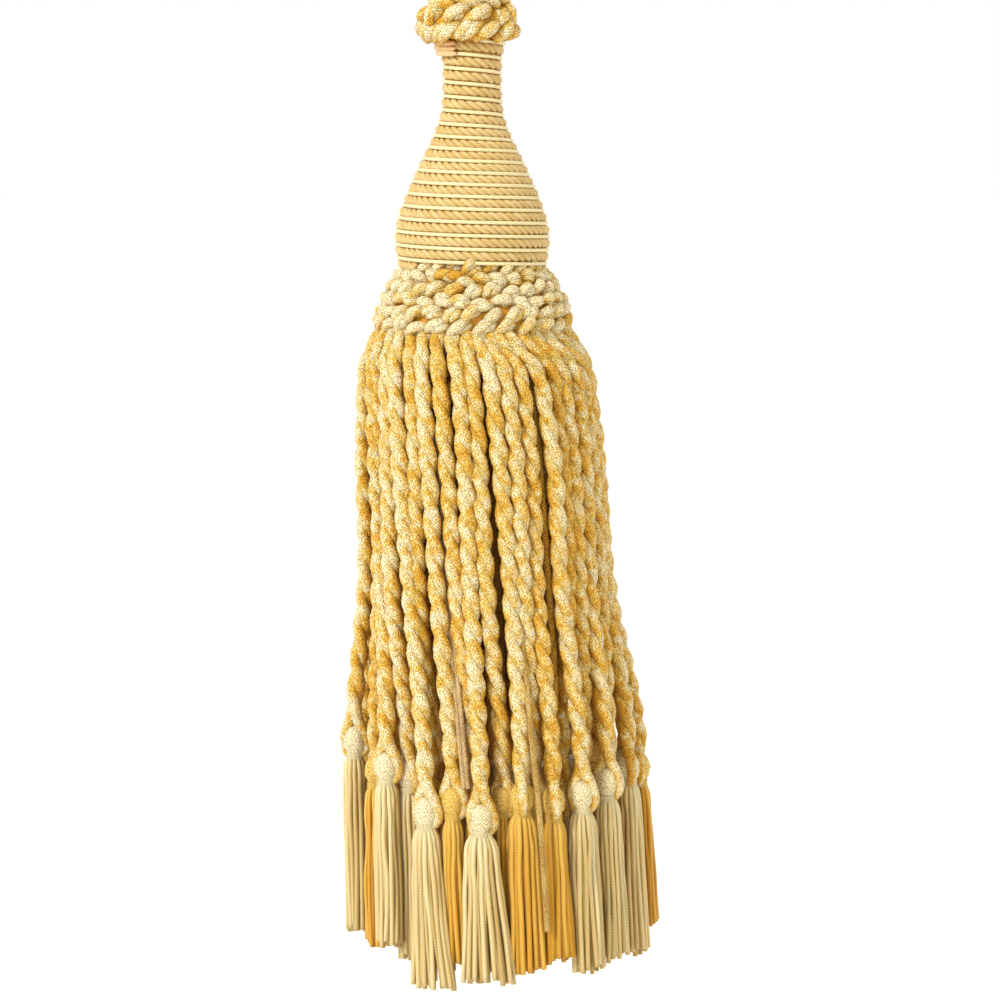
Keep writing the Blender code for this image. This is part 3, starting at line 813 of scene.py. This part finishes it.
def one_yarn(strands, tassel, turn, share, length, splay, sides, step):
    drops = np.append(YARN_DROPS, length / MM)
    spread = tassel.spread / MM - HEM_INSET
    wide = spread * np.interp(drops, [*SHOULDER_DROPS, drops[-1]], [*SHOULDER_SHARES, HEM_SHARE])
    deep = np.interp(drops, SHOULDER_DROPS, SHOULDER_DEPTHS)
    fall = np.clip((drops - YARN_START) / (drops[-1] - YARN_START), 0, 1)[:, None]
    axis = tassel.ball + fall * (tassel.hem - tassel.ball) * (1, 1, 0)
    sway = random.normal(0, SWAY, (len(drops), 2)) * np.linspace(0, 1, len(drops))[:, None] ** 1.5
    splayed = splay * max(math.cos(turn), 0) * fall[:, 0] ** 2
    side = (share * math.cos(turn) * wide + sway[:, 0] + splayed) * MM
    out = (share * math.sin(turn) * deep + sway[:, 1]) * MM
    points = axis + side[:, None] * across_at(tassel.azimuth) + out[:, None] * outward_at(tassel.azimuth)
    points[:, 2] = tassel.ball[2] - drops * MM
    line = smooth_line(points, step)
    fallen = (tassel.ball[2] - line[:, 2]) / MM
    radii = np.interp(fallen, *np.transpose(YARN_THINNING)) * YARN_RADIUS
    # painted highlight: the yarns are made paler just under the neck
    painted_highlight = SHOULDER_HIGHLIGHT * np.exp(-(fallen - YARN_START) / HIGHLIGHT_RUN)
    # painted shade: yarns in the inner rings, nearer the axis, are made more golden
    tint = random.normal(YARN_TINT, YARN_TINT_SPREAD) - painted_highlight + (1 - share)
    strands.tube(
        line, outward_at(tassel.azimuth), radii, sides, tint, YARN_STITCH, COARSE_CELL_RINGS,
        far_side_shade=YARN_FAR_SIDE_SHADE,
    )


tassels = [read_tassel(number) for number in range(len(FRONT) + BACK_COUNT)]
for number, tassel in enumerate(tassels):
    small_tassel(number, tassel)


# ---- cord skirt

# How many degrees nearer the front the right-hand cords are sewn than they hang.
RIGHT_SWEEP = ((0, 0), (30, -12), (66, -12), (87, 0))
BUNDLE_SPACING = 3.1 * MM
BUNDLE_CORD = 1.62 * MM
BUNDLE_MARGIN = 1.0  # mm from the bundle's outline to its outer cords' middles
BUNDLE_ENDS = (-2.0, 0.3)  # mm that a cord's end may hang above or below the outline's
HEADING_REACH, HEADING_DROP = 23.6, 105.4  # mm
HEADING_TOP = 105 * MM  # the comb's corners above this are its heading's
HEADING_CENTRE = 0.4 * MM
HEADING_POINTS = 24
HEADING_RADIUS = 1.6 * MM


def hung_cords():
    """The front table, and the back cords, evenly round."""
    back = []
    for number in range(BACK_COUNT - 1):
        azimuth = BACK_FROM + (BACK_TO - BACK_FROM) * number / (BACK_COUNT - 2)
        back.append(Hung(azimuth, number % 2, random.uniform(0, 90)))
    return FRONT + back + [BACK_LAST]


def sewn_azimuth(number):
    if number >= len(FRONT):
        share = (number - len(FRONT)) / (BACK_COUNT - 1)
        return BACK_FROM + (BACK_LAST.azimuth - BACK_FROM) * share
    first, last = FRONT[0].azimuth, FRONT[-1].azimuth
    even = first + (last - first) * number / (len(FRONT) - 1)
    return even + np.interp(even, *np.transpose(RIGHT_SWEEP))


def pair_line(number, rows, tassel):
    """The pair's centre line from the heading down through its small tassel's ball."""
    row = rows[number]
    drops = np.transpose(CORD_OUTLINE)[0][:-1]
    foot = -tassel.ball[2] / MM - BALL_HALF_HEIGHT / MM
    share = (drops - drops[0]) / (foot - drops[0])
    end = tassel.azimuth + (360 if tassel.azimuth < -90 else 0) * (row.azimuth > 90)
    azimuths = row.azimuth + share * (end - row.azimuth)
    pull = SEWN_PULL if number < len(FRONT) else BACK_PULL
    azimuths += np.array(pull) * (sewn_azimuth(number) - azimuths)
    azimuths[-1] += BOWED.get(number, 0)
    points = skirt_points(azimuths, cord_reach(row.layer, drops), drops)
    at_ball = tassel.ball + np.outer([BALL_HALF_HEIGHT, 0, SPLIT_HEIGHTS[0] * MM], [0, 0, 1])
    line = smooth_line(np.concatenate([points, at_ball]), PLY_STEP)
    azimuth = np.interp(-line[:, 2] / MM, [*drops, foot], [*azimuths, end])
    return line, azimuth


def twisted_pair(strands, number, rows, tassel):
    line, azimuth = pair_line(number, rows, tassel)
    along = lengths_along(line)
    above = (line[:, 2] - tassel.ball[2]) / MM
    pitch = PAIR_PITCH * (1 + random.uniform(-PITCH_SPREAD, PITCH_SPREAD))
    left = np.interp(-SPLIT_ROOM, -above, along) - along
    turning = 0.5 * (left + np.sqrt(left**2 + UNTWIST_EASE**2)) * 2 * math.pi / pitch
    drop = -line[:, 2] / MM
    top = [CORD_OUTLINE[0].drop, LOOSE_DROP]
    full = np.interp(drop, top, [PAIR_RADIUS_AT_TOP, PAIR_RADIUS])
    across, outward = across_at(azimuth), outward_at(azimuth)
    # painted shade: the inner layer, and the cords on the side away from the light, are made more golden
    painted_shade = INNER_LAYER_SHADE * rows[number].layer + np.interp(rows[number].azimuth, *SHADED_SIDE)
    for ply, gaps in enumerate((SPLIT_BULGING, SPLIT_CLOSE)):
        gap = np.where(above > SPLIT_HEIGHTS[-1], full, eased(above, SPLIT_HEIGHTS, gaps) * MM)
        angle = math.radians(rows[number].fork + tassel.azimuth) + math.pi * ply + turning
        offset = gap[:, None] * swung(angle, across, outward)
        ply_line = resampled(line + offset, PLY_STEP)
        facing_at = np.interp(-ply_line[:, 2], -line[:, 2], azimuth)
        height = (ply_line[:, 2] - tassel.ball[2]) / MM
        radii = PLY_RADIUS * np.interp(height, *np.transpose(PLY_THINNING))
        least, swelling = PLY_BULGES
        radii = radii * (least + swelling * wandering(len(ply_line), PLY_STEP, BULGE_RUN))
        tints = painted_shade + TINT_SPAN * wandering(len(ply_line), PLY_STEP, TINT_RUN)
        strands.tube(
            ply_line, outward_at(facing_at), radii, PLY_SIDES, tints, CORD_STITCH, CELL_RINGS,
            relief=RELIEF, far_side_shade=PLY_FAR_SIDE_SHADE,
        )


def comb_node(point, combs):
    """The comb section whose CAD node comes nearest to a cord's foot."""
    return min(combs, key=lambda name: np.linalg.norm(combs[name] - point, axis=1).min())


def cord_skirt():
    rows = hung_cords()
    combs = {name: corners_of(name) for name in frame["nodes"] if name.startswith("cord_skirt")}
    groups = {name: Strands() for name in sorted(combs)}
    for number, tassel in enumerate(tassels):
        foot = tassel.ball + [0, 0, BALL_HALF_HEIGHT]
        twisted_pair(groups[comb_node(foot, combs)], number, rows, tassel)
    for name, strands in groups.items():
        heading(strands, combs[name])
        shown = name.replace("cord_skirt", "twisted_cords")
        piece(shown, strands, [variegated, backing], "twisted_cord", name)


def inner_cords():
    """Plain cords packed in rings, from the bundle's outside to its middle."""
    strands = Strands()
    drops, reaches = np.transpose(INNER_OUTLINE)
    reaches = reaches - BUNDLE_MARGIN
    widest = reaches.max()
    for ring in range(int(widest * MM / BUNDLE_SPACING) + 1):
        share = 1 - ring * BUNDLE_SPACING / MM / widest
        count = max(int(2 * math.pi * share * widest * MM / BUNDLE_SPACING), 1)
        sides, step = (8, 3 * MM) if ring == 0 else (5, 16 * MM)
        for number in range(count):
            azimuth = 360 * (number + 0.5 * (ring % 2) + random.uniform(-0.1, 0.1)) / count
            ends = np.append(drops[:-1], drops[-1] + random.uniform(*BUNDLE_ENDS))
            line = smooth_line(skirt_points(azimuth, share * reaches, ends), step)
            facing, tint = outward_at(azimuth), random.random()
            strands.tube(line, facing, BUNDLE_CORD, sides, tint, BUNDLE_STITCH, COARSE_CELL_RINGS)
    piece("inner_plain_cords", strands, [inner_look], "inner_cord", "inner_cords")


def heading(strands, corners):
    """The bound band that this section's cords are sewn to."""
    near = corners[corners[:, 2] > -HEADING_TOP]
    turns = np.degrees(np.arctan2(near[:, 0] - HEADING_CENTRE, -near[:, 1]))
    middle = math.degrees(math.atan2(np.sin(np.radians(turns)).sum(), np.cos(np.radians(turns)).sum()))
    half = np.abs((turns - middle + 180) % 360 - 180).max()
    azimuths = np.linspace(middle - half, middle + half, HEADING_POINTS)
    line = skirt_points(azimuths, HEADING_REACH, HEADING_DROP)
    strands.tube(line, outward_at(azimuths), HEADING_RADIUS, 10, 0.8, (6, 1.2 * MM), material=1)


cord_skirt()
inner_cords()


# ---- wound head

ROPE_PLIES, ROPE_PLY_RADIUS, ROPE_RADIUS = 3, 0.82 * MM, 0.84 * MM
ROPE_PITCH = 7.6 * MM
ROPE_STEP, CREAM_STEP = 0.8 * MM, 1.2 * MM
ROPE_TINT_RUN = 14 * MM
ROPE_STITCH, CREAM_STITCH = (6, 3 * MM), (2, 2 * MM)
Pitch = namedtuple("Pitch", "drop pitch")
WINDING = [  # how far apart the turns lie along the head's side: closer on its slope
    Pitch(18, 4.35),
    Pitch(33, 4.1),
    Pitch(41, 3.88),
    Pitch(48, 3.72),
    Pitch(60, 3.72),
    Pitch(66, 3.9),
    Pitch(72, 4.02),
    Pitch(84, 4.1),
]
CREAM_RADIUS = 0.56 * MM
CREAM_TURN = 0.96  # of a turn from the head's top to the cream cord at the front
CREAM_DEPTH = 0.62 * MM
CORE_DEPTH = 1.5 * MM
CORE_TOP = 16.4 * MM  # inside the crown, so that nothing shows between the two
CORE_STITCHES = (24, 1.1 * MM)
CORE_SIDES = 48
CORE_TINT = 0.5
OUTLINE_POINTS = 600
TURN_STEP = 0.004  # of a turn, from one point of the helix to the next


def outline_table():
    """The head's outer line, finely: how far along it, its reach and height, and its outward slope."""
    drops = np.linspace(HEAD_OUTLINE[0].drop, HEAD_OUTLINE[-1].drop, OUTLINE_POINTS)
    reach = eased(drops, *np.transpose(HEAD_OUTLINE))
    line = np.stack([reach, 0 * reach, -drops], 1) * MM
    tangent = unit(np.gradient(line, axis=0))
    normal = np.stack([-tangent[:, 2], 0 * reach, tangent[:, 0]], 1)
    return lengths_along(line), line, normal


def winding(depth, first_turn, step):
    """A helix round the head that lies a depth under its outer line, and what looks out of it."""
    along, line, normal = outline_table()
    inner = line - depth * normal
    pitch = np.interp(-line[:, 2] / MM, *np.transpose(WINDING)) * MM
    turns = np.concatenate([[0], np.cumsum(2 * np.diff(along) / (pitch[1:] + pitch[:-1]))])
    azimuth = np.arange(-first_turn, turns[-1] - first_turn, TURN_STEP) * 360
    at = np.interp(azimuth / 360 + first_turn, turns, along)
    points = outward_at(azimuth) * np.interp(at, along, inner[:, 0])[:, None]
    points[:, 2] = np.interp(at, along, inner[:, 2])
    points = resampled(points, step)
    turn = np.unwrap(np.arctan2(points[:, 0], -points[:, 1]))
    slope = np.interp(-points[:, 2], -inner[:, 2], normal[:, 2])
    outward = outward_at(np.degrees(turn)) * np.sqrt(1 - slope**2)[:, None]
    outward[:, 2] = slope
    return points, outward


def head():
    """The rope and the cream cord, half a turn apart, round a plain core that closes what they leave."""
    rope = Strands()
    line, outward = winding(ROPE_PLY_RADIUS + ROPE_RADIUS, CREAM_TURN - 0.5, ROPE_STEP)
    up = np.cross(unit(np.gradient(line, axis=0)), outward)
    along = lengths_along(line)
    for ply in range(ROPE_PLIES):
        angle = 2 * math.pi * (along / ROPE_PITCH + ply / ROPE_PLIES)
        offset = ROPE_RADIUS * swung(angle, -up, outward)
        tints = wandering(len(line), ROPE_STEP, ROPE_TINT_RUN)
        rope.tube(line + offset, outward, ROPE_PLY_RADIUS, 7, tints, ROPE_STITCH, CELL_RINGS)
    _, outline, normal = outline_table()
    core = (outline - CORE_DEPTH * normal)[::12]
    core = np.concatenate([[[core[0, 0], 0, -CORE_TOP]], core])
    profile = np.stack([core[:, 2], core[:, 0]], 1)
    turned(rope, np.zeros(3), profile, CORE_SIDES, CORE_TINT, CORE_STITCHES)
    piece("head_gold_rope", rope, [gold_rope, ruff_backing], "head_winding", "head")
    cream = Strands()
    line, outward = winding(CREAM_DEPTH, CREAM_TURN, CREAM_STEP)
    cream.tube(line, outward, CREAM_RADIUS, 6, 0.3, CREAM_STITCH, CELL_RINGS)
    piece("head_cream_cord", cream, [cream_cord], "head_winding", "head")


head()


# ---- ruffs

KnotRow = namedtuple("KnotRow", "drop reach count slant length")
RUFF_ROWS = [
    KnotRow(84.6, 18.7, 25, 30, 4.2),
    KnotRow(87.8, 20.6, 26, -20, 4.5),
    KnotRow(91.0, 22.8, 27, 28, 4.8),
    KnotRow(94.2, 24.7, 28, -12, 5.0),
    KnotRow(97.5, 26.1, 28, 24, 5.5),
    KnotRow(100.7, 26.8, 26, 28, 6.2),
]
RUFF_BODY = [(-83.6, 19.2), (-87, 20.4), (-92, 23.2), (-97, 25.8), (-100, 26.6), (-102.2, 25.8)]
CROWN_ROWS = [
    KnotRow(1.5, 2.2, 4, 20, 6.0),
    KnotRow(4.0, 5.6, 7, 35, 7.0),
    KnotRow(7.8, 9.3, 9, -30, 7.4),
    KnotRow(11.6, 11.4, 11, 38, 7.6),
    KnotRow(15.2, 11.8, 12, 24, 7.6),
]
CROWN_BODY = [(-1.8, 3.6), (-5.0, 7.0), (-9.0, 10.4), (-13.0, 12.2), (-16.6, 12.2), (-18.2, 10.2)]
KNOT_PLY_RADIUS = 1.5 * MM
KNOT_PAIR_RADIUS = 0.6 * MM
KNOT_RISE = 1.2 * MM
KNOT_DIVE = 1.9  # how steeply a knot goes back into the collar at its ends
KNOT_TAPER = 0.3
KNOT_TINTS = (-0.2, 0.22)
# How unevenly the knots lie: in spaces between two, mm up, mm out, degrees, and shares of the length.
KNOT_STRAY, KNOT_SHIFT, KNOT_PUSH, KNOT_SLANT, KNOT_LENGTHS = 0.12, 0.4, 0.25, 12, (0.9, 1.1)
KNOT_END_SHADE = 0.6  # painted shade: how much more golden a knot is made at its ends, where it goes back into the collar
KNOT_RINGS = 13
KNOT_TURN = 0.34 * math.pi  # how far the two plies turn about each other from a knot's middle to its end
Knot = namedtuple("Knot", "drop reach azimuth slant length size tint")
ODD_KNOTS = [  # a loose one over the head's foot, and a cord's end glued down in orange
    Knot(83.4, 21.0, -2, 40, 4.6, 0.85, 0.3),
    Knot(86.3, 20.6, -23, 4, 5.2, 1.0, 0.95),
    Knot(86.6, 20.8, -14, -8, 5.0, 0.95, 0.9),
]
ODD_SLOPE = 0.3  # radians that the odd knots lean up
CLOSED_REACH = 0.01  # mm, where a ruff's body closes at its top and bottom


def knot(strands, centre, across, up, out, slant, length, tint, size):
    """One bulge of the knotting: a short twisted pair that comes out of the collar and goes back in."""
    t = np.linspace(-1, 1, KNOT_RINGS)
    along = math.cos(slant) * across + math.sin(slant) * up
    rise = size * KNOT_RISE * (1 - KNOT_DIVE * t**2)
    line = centre + 0.5 * length * t[:, None] * along + rise[:, None] * out
    tangent = unit(np.gradient(line, axis=0))
    facing = unit(out - (tangent @ out)[:, None] * tangent)
    side = np.cross(tangent, facing)
    start = random.uniform(0, 2 * math.pi)
    for ply in range(2):
        angle = start + math.pi * ply + KNOT_TURN * t
        offset = KNOT_PAIR_RADIUS * swung(angle, side, facing)
        radii = size * KNOT_PLY_RADIUS * (1 - KNOT_TAPER * t**2)
        # painted shade: each ply is made more golden towards the knot's ends
        tints = tint + 0.3 * (wandering(KNOT_RINGS, 0.8 * MM, BULGE_RUN) - 0.5) + KNOT_END_SHADE * t**2
        strands.tube(
            line + size * offset, facing, radii, PLY_SIDES, tints, CORD_STITCH,
            relief=RELIEF, far_side_shade=KNOT_FAR_SIDE_SHADE,
        )


def knot_place(row, azimuth, slope, middle_x):
    """A knot's middle on its row, and the directions across, up and out there."""
    outward, across = outward_at(azimuth), across_at(azimuth)
    out = math.cos(slope) * outward + math.sin(slope) * np.array([0, 0, 1.0])
    centre = outward * row.reach * MM - [0, 0, row.drop * MM]
    centre[0] += middle_x
    return centre, across, np.cross(out, across), out


def knotted(strands, rows, middle_x, size, gold):
    """Rows of knots, each set between the ones above."""
    for number, row in enumerate(rows):
        above, below = rows[max(number - 1, 0)], rows[min(number + 1, len(rows) - 1)]
        slope = math.atan2(below.reach - above.reach, below.drop - above.drop)
        for k in range(row.count):
            stray = random.uniform(-KNOT_STRAY, KNOT_STRAY)
            azimuth = 360 * (k + 0.5 * (number % 2) + stray) / row.count
            centre, across, up, out = knot_place(row, azimuth, slope, middle_x)
            centre = centre + random.normal(0, KNOT_SHIFT) * MM * up + random.normal(0, KNOT_PUSH) * MM * out
            slant = math.radians(row.slant + random.normal(0, KNOT_SLANT))
            length = row.length * MM * random.uniform(*KNOT_LENGTHS)
            tint = gold + random.uniform(*KNOT_TINTS)
            knot(strands, centre, across, up, out, slant, length, tint, size)


def collar(name, rows, body, middle_x, size, gold, node):
    """A ruff: its knots over a plain body. gold is how golden its cord is."""
    strands = Strands()
    profile = np.array([(body[0][0], CLOSED_REACH), *body, (body[-1][0], CLOSED_REACH)]) * MM
    turned(strands, np.array([middle_x, 0, 0]), profile, CORE_SIDES, CORE_TINT, CORE_STITCHES)
    knotted(strands, rows, middle_x, size, gold)
    for odd in ODD_KNOTS if node == "lower_ruff" else []:
        place = knot_place(odd, odd.azimuth, ODD_SLOPE, middle_x)
        knot(strands, *place, math.radians(odd.slant), odd.length * MM, odd.tint, odd.size)
    piece(name, strands, [variegated, ruff_backing], "knotted_cord", node)


collar("crown_knots", CROWN_ROWS, CROWN_BODY, -1.3 * MM, 1.25, 0.2, "top_ruff")
collar("ruff_knots", RUFF_ROWS, RUFF_BODY, 0.3 * MM, 1.08, 0.0, "lower_ruff")

GLUED_DROPS = (18.9, 20.4, 21.9)
GLUED_SAG = 0.5  # mm
GLUED_POINTS = 12
GLUED_FROM, GLUED_TO = -95, -28
GLUED_RADIUS = 0.85 * MM
GLUED_LIFT = 0.7


def glued_end():
    """The rope's end at the neck: its plies laid side by side, flattened and glued down."""
    strands = Strands()
    for drop in GLUED_DROPS:
        azimuth = np.linspace(GLUED_FROM, GLUED_TO + random.uniform(-3, 3), GLUED_POINTS)
        share = np.linspace(0, 1, GLUED_POINTS)
        drops = drop + GLUED_SAG * share
        reach = eased(drops, *np.transpose(HEAD_OUTLINE)) + GLUED_LIFT
        line = outward_at(azimuth) * reach[:, None] * MM
        line[:, 2] = -drops * MM
        radii = GLUED_RADIUS * np.sqrt(np.clip(1 - (2 * share - 1) ** 6, 0.3, 1))
        strands.tube(line, outward_at(azimuth), radii, 8, random.random(), (3, 1.4 * MM), relief=0.05)
    piece("glued_neck_end", strands, [glued_tan], "head_winding", "head")


glued_end()


# ---- stage


def aimed(made, towards):
    """A camera or lamp put into the scene, looking that way."""
    thing = bpy.data.objects.new(made.name, made)
    thing.rotation_euler = towards.to_track_quat("-Z", "Y").to_euler()
    bpy.context.scene.collection.objects.link(thing)
    return thing


def camera():
    made = bpy.data.cameras.new("camera")
    made.angle = CAMERA_ANGLE
    thing = aimed(made, Vector(CAMERA_AIM) - Vector(CAMERA_AT))
    thing.location = CAMERA_AT
    bpy.context.scene.camera = thing


def sun():
    made = bpy.data.lights.new("key", "SUN")
    made.angle = math.radians(SUN_SOFTNESS)
    made.energy = SUN_POWER
    made.color = SUN_COLOUR
    aimed(made, Vector(SUN_TOWARDS))


def floor():
    bpy.ops.mesh.primitive_plane_add(size=FLOOR_SIZE, location=(0, 0, -FLOOR_DROP))
    plane = bpy.context.object
    plane.name = "floor"
    make = Nodes("pale_floor")
    make.set(make.shader, {"Base Color": FLOOR_COLOUR, "Roughness": 0.9, "Specular IOR Level": 0.0})
    plane.data.materials.append(make.material)


def surroundings():
    """Soft light from all round, and plain white behind the object."""
    world = bpy.data.worlds.new("studio")
    world.use_nodes = True
    tree = world.node_tree
    seen = tree.nodes.new("ShaderNodeLightPath")
    colour = tree.nodes.new("ShaderNodeMix")
    colour.data_type = "RGBA"
    colour.inputs["A"].default_value = AMBIENT
    colour.inputs["B"].default_value = (1, 1, 1, 1)
    tree.links.new(seen.outputs["Is Camera Ray"], colour.inputs["Factor"])
    tree.links.new(colour.outputs["Result"], tree.nodes["Background"].inputs["Color"])
    bpy.context.scene.world = world
    bpy.context.scene.view_settings.view_transform = "Standard"


camera()
floor()
surroundings()
sun()
